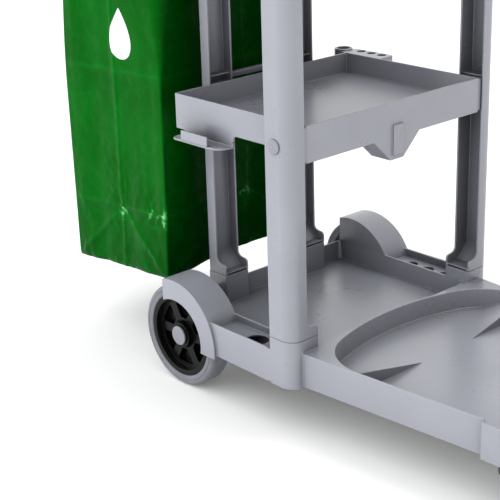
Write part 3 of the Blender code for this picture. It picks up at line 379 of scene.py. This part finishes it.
def make_materials():
    return {
        "body_plastic": moulded_plastic("body_plastic", (0.284, 0.291, 0.333), 0.29, specular=0.75),
        "hub_plastic": moulded_plastic("hub_plastic", (0.003, 0.003, 0.0035), 0.26, 0.00001, 0.16),
        "cap_plastic": moulded_plastic("cap_plastic", (0.25, 0.255, 0.29), 0.5),
        "caster_plastic": moulded_plastic("caster_plastic", (0.014, 0.014, 0.015), 0.42),
        "grip_rubber": rubber("grip_rubber", (0.028, 0.028, 0.030), 0.7),
        "tyre_rubber": rubber("tyre_rubber", (0.19, 0.195, 0.22), 0.66),
        "steel": zinc_steel(),
        "bag_vinyl": vinyl(),
    }


# ---------------------------------------------------------------- CAD pieces


def soften_edges(item, width):
    """Rounded edges and clean shading over the CAD solid, whose own mesh stays as it is."""
    mesh = item.data
    custom = mesh.attributes.get("custom_normal")
    if custom is not None:
        mesh.attributes.remove(custom)
    mesh.shade_smooth()
    weld = item.modifiers.new("weld", "WELD")
    weld.merge_threshold = WELD
    flat = item.modifiers.new("flat", "DECIMATE")
    flat.decimate_type = "DISSOLVE"
    flat.angle_limit = math.radians(0.6)
    edge = item.modifiers.new("edge", "BEVEL")
    edge.width = width
    edge.segments = 3
    edge.limit_method = "ANGLE"
    edge.angle_limit = math.radians(EDGE_ANGLE)
    edge.use_clamp_overlap = False
    edge.miter_outer = "MITER_ARC"
    shade = item.modifiers.new("shade", "WEIGHTED_NORMAL")
    shade.keep_sharp = False
    shade.weight = 60


def smooth_round(item):
    """Smooth shading for a turned or bent piece that has no edge to soften."""
    mesh = item.data
    custom = mesh.attributes.get("custom_normal")
    if custom is not None:
        mesh.attributes.remove(custom)
    mesh.shade_smooth()
    weld = item.modifiers.new("weld", "WELD")
    weld.merge_threshold = WELD
    shade = item.modifiers.new("shade", "WEIGHTED_NORMAL")
    shade.keep_sharp = False


def finish_cad(frame, materials):
    slots = {part["node"]: part["material_slot"] for part in frame["record"]["subparts"]}
    for name, item in frame["nodes"].items():
        item.data.materials.clear()
        item.data.materials.append(materials[slots[name]])
        if name in MOULDED:
            soften_edges(item, EDGE_WIDTH)
        elif name in THIN_EDGED:
            soften_edges(item, THIN_EDGE_WIDTH)
        else:
            smooth_round(item)


def new_piece(name, mesh, material, body):
    mesh.materials.clear()
    mesh.materials.append(material)
    item = bpy.data.objects.new(name, mesh)
    bpy.context.scene.collection.objects.link(item)
    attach(item, body)
    return item


# ---------------------------------------------------------------- bag


def ease(value):
    value = min(max(value, 0.0), 1.0)
    return value * value * (3.0 - 2.0 * value)


def bag_section(low, high, z, front_radius, rear_radius):
    """The bag's outline at a height, as (x, y, outward) for an equal number of points at every height."""
    share = (high.z - z) / (high.z - low.z)
    rear = low.x - BAG_REAR_OUT * (0.2 + 0.8 * ease(share / 0.55)) * (1.0 - 0.45 * share)
    front = high.x - BAG_LEAN_FRONT * share
    sides = [
        ((rear, low.y), (front, low.y)),
        ((front, low.y), (front, high.y)),
        ((front, high.y), (rear, high.y)),
        ((rear, high.y), (rear, low.y)),
    ]
    radii = (front_radius, front_radius, rear_radius, rear_radius)
    points = []
    for number, ((x0, y0), (x1, y1)) in enumerate(sides):
        radius = radii[number]
        start = Vector((x0, y0))
        end = Vector((x1, y1))
        along = (end - start).normalized()
        outward = Vector((along.y, -along.x))
        first = start + along * radii[number - 1]
        last = end - along * radius
        for step in range(BAG_SIDE_STEPS):
            spot = first.lerp(last, step / BAG_SIDE_STEPS)
            points.append((spot.x, spot.y, outward))
        centre = last - outward * radius
        for step in range(BAG_CORNER_STEPS):
            turn = math.pi / 2 * step / BAG_CORNER_STEPS
            out = outward * math.cos(turn) + along * math.sin(turn)
            spot = centre + out * radius
            points.append((spot.x, spot.y, out))
    return points


def bag_hem_z(low, high, x, y):
    """The height of the bottom edge: lowest at the rear, lifted along the front."""
    forward = (x - low.x) / (high.x - low.x)
    across = (y - low.y) / (high.y - low.y)
    lift = BAG_HEM_LIFT_FRONT * forward + BAG_HEM_LIFT_FAR_FRONT * forward * ease(across * 2.2)
    lift += BAG_HEM_LIFT_FAR * across
    return low.z + (lift - BAG_HEM_DROP) * MM


def crease(distance, width):
    """The profile of a fold: sharp at its line and fading to both sides."""
    return math.exp(-abs(distance) / width)


def crinkle(place):
    """A net of thin crumple lines, 0 to 1."""
    ridge = 1.0 - min(abs(noise.noise(place * 17.0)) * 9.0, 1.0)
    finer = 1.0 - min(abs(noise.noise(place * 39.0)) * 7.0, 1.0)
    return max(ridge, 0.6 * finer)


def toward_corners(across):
    """0 at the upright fold of a face and 1 at both of its ends."""
    if across < FOLD_ACROSS:
        return 1.0 - across / FOLD_ACROSS
    return (across - FOLD_ACROSS) / (1.0 - FOLD_ACROSS)


def bag_crease_white_and_highlight(side, across, level):
    """How far folding whitens the film and how strong a painted highlight its creases carry, 0 to 1: on its
    fold lines, and crumpled beside the lowest one.
    The level is the height above the bottom edge."""
    aside = toward_corners(across)
    place = Vector((across * 0.36 + side * 5.0, level, side * 1.7))
    wander = 4.0 * MM * noise.noise(Vector((across * 5.0, side, 2.0)))
    bend = 0.008 * noise.noise(Vector((side, level * 9.0, 0.0)))
    lines = 0.5 * crease(across - FOLD_ACROSS + bend, 0.005)
    lines += 0.35 * crease(across - FOLD_ACROSS - 0.035 - bend, 0.004) * ease(level * 8.0 - 0.6)
    for height, share in zip(FOLD_LEVELS, (0.5, 0.4, 0.2)):
        lines += share * crease(level - height - wander, 0.0025)
    if level < FOLD_LEVELS[0]:
        reach = 1.0 - level / FOLD_LEVELS[0]
        strength = 1.1 if across > FOLD_ACROSS else 0.5
        lines += strength * crease(aside - reach, 0.016)
        lines += 0.3 * crease(aside - 0.55 * reach, 0.03)
    patch = crease(level - FOLD_LEVELS[0] + 0.004, 0.013) * ease(7.0 * across - 5.2)
    knot = crease(level - FOLD_LEVELS[0] + 0.012, 0.014) * crease(across - FOLD_ACROSS, 0.03)
    ripple = crinkle(place)
    crumple = ripple * (2.6 * patch + 1.8 * knot + 0.6 * crease(level, 0.012) + 0.12)
    crumple += 0.35 * crease(level - 2.5 * MM, 0.003)
    return min(lines * (0.5 + 1.0 * abs(noise.noise(place * 25.0))) + crumple, 1.0)


def bag_relief(side, across, level):
    """How far the film stands out of its flat face, in metres. Across runs 0 to 1 along the face."""
    aside = toward_corners(across)
    slack = -5.0 * (1.0 - aside) ** 1.3
    slack += 3.0 * crease(across - FOLD_ACROSS, 0.02)
    for height in FOLD_LEVELS:
        slack += 1.6 * crease(level - height, 0.008)
    # Folds from the middle of the lowest fold to the bottom corners, as on a bag with a folded bottom.
    if level < FOLD_LEVELS[0]:
        reach = 1.0 - level / FOLD_LEVELS[0]
        slack += 4.2 * crease(aside - reach, 0.07) * ease(reach * 4.0)
        slack -= 2.5 * (1.0 - reach) * ease(1.0 - aside)
    place = Vector((across * 0.36 + side * 5.0, level, side * 1.7))
    long_folds = noise.noise(Vector((place.x * 13.0, place.y * 2.6, place.z)))
    crumple = abs(noise.noise(place * 14.0)) + 0.5 * abs(noise.noise(place * 31.0))
    near_folds = 0.35 + 0.9 * crease(level - FOLD_LEVELS[0], 0.09) + 0.5 * crease(level, 0.05)
    slack += 3.2 * long_folds + 3.6 * (0.5 - crumple) * near_folds
    return slack * MM


def bag_rows(low, high):
    """Rows of points from the top rim to the bottom edge, and how much crease whitening and painted
    highlight each point carries.
    """
    rows = []
    crease_white_and_highlight = []
    per_side = BAG_SIDE_STEPS + BAG_CORNER_STEPS
    for row in range(BAG_ROWS + 1):
        down = row / BAG_ROWS
        level = high.z + (low.z - high.z) * down
        above = (1.0 - down) * (high.z - low.z)
        loose = ease(1.0 - down * 1.9)
        front_radius = (BAG_CORNER + BAG_FRONT_LOOSE * loose) * MM
        rear_radius = (BAG_CORNER + BAG_REAR_LOOSE * loose) * MM
        points = []
        for index, (x, y, out) in enumerate(bag_section(low, high, level, front_radius, rear_radius)):
            side, step = divmod(index, per_side)
            across = min(step / BAG_SIDE_STEPS, 1.0)
            z = high.z + (bag_hem_z(low, high, x, y) - high.z) * down
            hold = ease((high.z - z) / BAG_RIM_HELD) * ease(min(across, 1.0 - across) * 9.0)
            move = bag_relief(side, across, above) * hold
            wave = noise.noise(Vector((side * 3.0, z * 9.0, 4.0)))
            edge = BAG_EDGE_WAVE * wave * (1.0 - ease(across * 6.0))
            move += edge * ease((high.z - z) / 0.2)
            tuck = BAG_HEM_TUCK * ease((down - 0.99) / 0.01)
            points.append(Vector((x + out.x * (move - tuck), y + out.y * (move - tuck), z)))
            crease_white_and_highlight.append(bag_crease_white_and_highlight(side, across, above))
        rows.append(points)
    return rows, crease_white_and_highlight


def bag_mesh(low, high):
    rows, crease_white_and_highlight = bag_rows(low, high)
    middle = Vector(((low.x + high.x) / 2, 0.0, low.z + 4.0 * MM))
    last = rows[-1]
    for ring in range(1, BAG_FLOOR_RINGS):
        share = ring / BAG_FLOOR_RINGS
        points = []
        for point in last:
            spot = point.lerp(middle, share)
            spot.z += 3.0 * MM * noise.noise(spot * 22.0) * ease(share * 4.0)
            points.append(spot)
            crease_white_and_highlight.append(0.0)
        rows.append(points)
    shape = bmesh.new()
    rings = [[shape.verts.new(point) for point in points] for points in rows]
    count = len(rings[0])
    for upper, lower in zip(rings, rings[1:]):
        for index in range(count):
            after = (index + 1) % count
            shape.faces.new((upper[index], upper[after], lower[after], lower[index]))
    centre = shape.verts.new(middle)
    for index in range(count):
        shape.faces.new((rings[-1][index], rings[-1][(index + 1) % count], centre))
    bmesh.ops.recalc_face_normals(shape, faces=shape.faces)
    mesh = bpy.data.meshes.new("waste_bag_vinyl")
    shape.to_mesh(mesh)
    shape.free()
    mesh.shade_smooth()
    # Each point's crease whitening and painted highlight, read by the vinyl's base colour.
    white_and_highlighted = mesh.attributes.new(CREASE_WHITE_AND_HIGHLIGHT, "FLOAT", "POINT")
    white_and_highlighted.data.foreach_set("value", crease_white_and_highlight + [0.0])
    return mesh


def make_bag(materials):
    low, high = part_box("waste_bag")
    bag = new_piece("waste_bag_vinyl", bag_mesh(low, high), materials["bag_vinyl"], WHOLE_BODY)
    wall = bag.modifiers.new("wall", "SOLIDIFY")
    wall.thickness = BAG_WALL
    wall.offset = -1.0
    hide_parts("waste_bag")
    return bag


# ---------------------------------------------------------------- tyres


def tyre_outline(inner, outer, half):
    """The tyre's section as (radius, across), from the outer face round the tread to the inner face."""
    face = [
        (inner, half - 1.6), (inner + 0.8, half - 0.7), (inner + 2.2, half - 0.4),
        (inner + 8.2, half), (inner + 8.9, half - 1.1), (inner + 9.8, half - 1.1),
        (inner + 10.5, half - 0.1),
    ]
    shoulder = []
    centre = (outer - SHOULDER_RADIUS, half - SHOULDER_RADIUS)
    for number in range(9):
        turn = math.radians(90.0 * (1.0 - number / 8.0))
        radius = centre[0] + SHOULDER_RADIUS * math.cos(turn)
        shoulder.append((radius, centre[1] + SHOULDER_RADIUS * math.sin(turn)))
    tread = []
    for groove in TREAD_GROOVES:
        tread += [(outer, groove + 1.0), (outer - 1.2, groove + 0.5)]
        tread += [(outer - 1.2, groove - 0.5), (outer, groove - 1.0)]
    half_section = face + shoulder + tread
    return half_section + [(radius, -across) for radius, across in reversed(half_section)]


def spun(name, outline, centre, axis, steps):
    """A closed ring turned about the axis through its centre, from (radius, along) points in millimetres."""
    shape = bmesh.new()
    rings = []
    for number in range(steps):
        turn = 2 * math.pi * number / steps
        ring = []
        for radius, along in outline:
            spot = Vector((radius * math.cos(turn), radius * math.sin(turn), along)) * MM
            if axis == "Y":
                spot = Vector((spot.x, spot.z, spot.y))
            ring.append(shape.verts.new(centre + spot))
        rings.append(ring)
    count = len(outline)
    for number, ring in enumerate(rings):
        after = rings[(number + 1) % steps]
        for index in range(count):
            following = (index + 1) % count
            shape.faces.new((ring[index], ring[following], after[following], after[index]))
    bmesh.ops.recalc_face_normals(shape, faces=shape.faces)
    mesh = bpy.data.meshes.new(name)
    shape.to_mesh(mesh)
    shape.free()
    mesh.shade_smooth()
    mesh.set_sharp_from_angle(angle=math.radians(50.0))
    return mesh


def make_tyres(materials):
    for word in SIDES:
        node = f"wheel_tyre_{word}"
        low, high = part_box(node)
        centre = (low + high) / 2
        outer = (high.x - low.x) / 2 / MM
        half = (high.y - low.y) / 2 / MM
        outline = tyre_outline(TYRE_BORE, outer, half)
        mesh = spun(f"moulded_{node}", outline, centre, "Y", TYRE_STEPS)
        body = f"rear_wheel_{word}"
        tyre = new_piece(f"moulded_{node}", mesh, materials["tyre_rubber"], body)
        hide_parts(node)


# ---------------------------------------------------------------- grip


def make_grip(materials):
    """The push handle's sleeve, with finger ridges."""
    low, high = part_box("handle_grip")
    centre = (low + high) / 2
    half = (high.y - low.y) / 2 / MM
    radius = (high.z - low.z) / 2 / MM
    outline = [(GRIP_BORE, half), (radius - 2.0, half), (radius - 0.6, half - 0.6), (radius, half - 2.0)]
    along = half - GRIP_PLAIN_END
    while along > GRIP_PLAIN_END - half:
        outline += [(radius, along + 2.2), (radius - 1.0, along + 1.0)]
        outline += [(radius - 1.0, along - 1.0), (radius, along - 2.2)]
        along -= GRIP_RIDGE_SPACING
    outline += [(radius, 2.0 - half), (radius - 0.6, 0.6 - half), (radius - 2.0, -half), (GRIP_BORE, -half)]
    mesh = spun("ribbed_grip", outline, centre, "Y", GRIP_STEPS)
    grip = new_piece("ribbed_grip", mesh, materials["grip_rubber"], WHOLE_BODY)
    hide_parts("handle_grip")


# ---------------------------------------------------------------- stage


def make_floor():
    mesh = bpy.data.meshes.new("floor")
    corners = [(-1, -1), (1, -1), (1, 1), (-1, 1)]
    points = [(x * FLOOR_HALF, y * FLOOR_HALF, FLOOR_LEVEL) for x, y in corners]
    mesh.from_pydata(points, [], [(0, 1, 2, 3)])
    floor = bpy.data.objects.new("floor", mesh)
    bpy.context.scene.collection.objects.link(floor)
    floor.data.materials.append(pale_floor())


def make_light():
    """A weak key from above, and a sky that is brighter on the near side."""
    lamp = bpy.data.lights.new("key", "SUN")
    lamp.energy = KEY_STRENGTH
    lamp.angle = math.radians(KEY_ANGLE)
    key = bpy.data.objects.new("key", lamp)
    key.rotation_euler = Vector(KEY_FROM).to_track_quat("Z", "Y").to_euler()
    bpy.context.scene.collection.objects.link(key)

    world = bpy.data.worlds.new("studio")
    bpy.context.scene.world = world
    world.use_nodes = True
    nodes = world.node_tree.nodes
    links = world.node_tree.links
    place = nodes.new("ShaderNodeTexCoord")
    side = nodes.new("ShaderNodeVectorMath")
    side.operation = "DOT_PRODUCT"
    side.inputs[1].default_value = Vector(SKY_BRIGHT_FROM).normalized()
    links.new(place.outputs["Generated"], side.inputs[0])
    shade = nodes.new("ShaderNodeMapRange")
    shade.inputs["From Min"].default_value = -1.0
    shade.inputs["From Max"].default_value = 1.0
    shade.inputs["To Min"].default_value = SKY_LOW
    shade.inputs["To Max"].default_value = SKY_HIGH
    links.new(side.outputs["Value"], shade.inputs["Value"])
    links.new(shade.outputs["Result"], nodes["Background"].inputs["Strength"])
    tint = ramp(nodes, links, side.outputs["Value"], 0.0, 0.6, SKY_LOW_COLOUR, SKY_HIGH_COLOUR)
    links.new(tint, nodes["Background"].inputs["Color"])


def make_camera():
    azimuth = math.radians(CAMERA_AZIMUTH)
    elevation = math.radians(CAMERA_ELEVATION)
    level = math.cos(elevation)
    back = Vector((math.sin(azimuth) * level, -math.cos(azimuth) * level, math.sin(elevation)))
    right = Vector((math.cos(azimuth), math.sin(azimuth), 0.0))
    up = back.cross(right)
    turn = Matrix.Rotation(math.radians(CAMERA_ROLL), 3, back)
    data = bpy.data.cameras.new("camera")
    data.lens = CAMERA_LENS
    data.sensor_width = 36.0
    data.clip_end = 200.0
    camera = bpy.data.objects.new("camera", data)
    columns = Matrix((turn @ right, turn @ up, back)).transposed()
    camera.matrix_world = Matrix.Translation(CAMERA_PLACE) @ columns.to_4x4()
    bpy.context.scene.collection.objects.link(camera)
    bpy.context.scene.camera = camera


def main():
    for item in list(bpy.data.objects):
        bpy.data.objects.remove(item, do_unlink=True)
    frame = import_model()
    bpy.context.scene.view_settings.view_transform = "Standard"
    make_camera()
    make_light()
    make_floor()
    materials = make_materials()
    finish_cad(frame, materials)
    make_bag(materials)
    make_tyres(materials)
    make_grip(materials)


main()
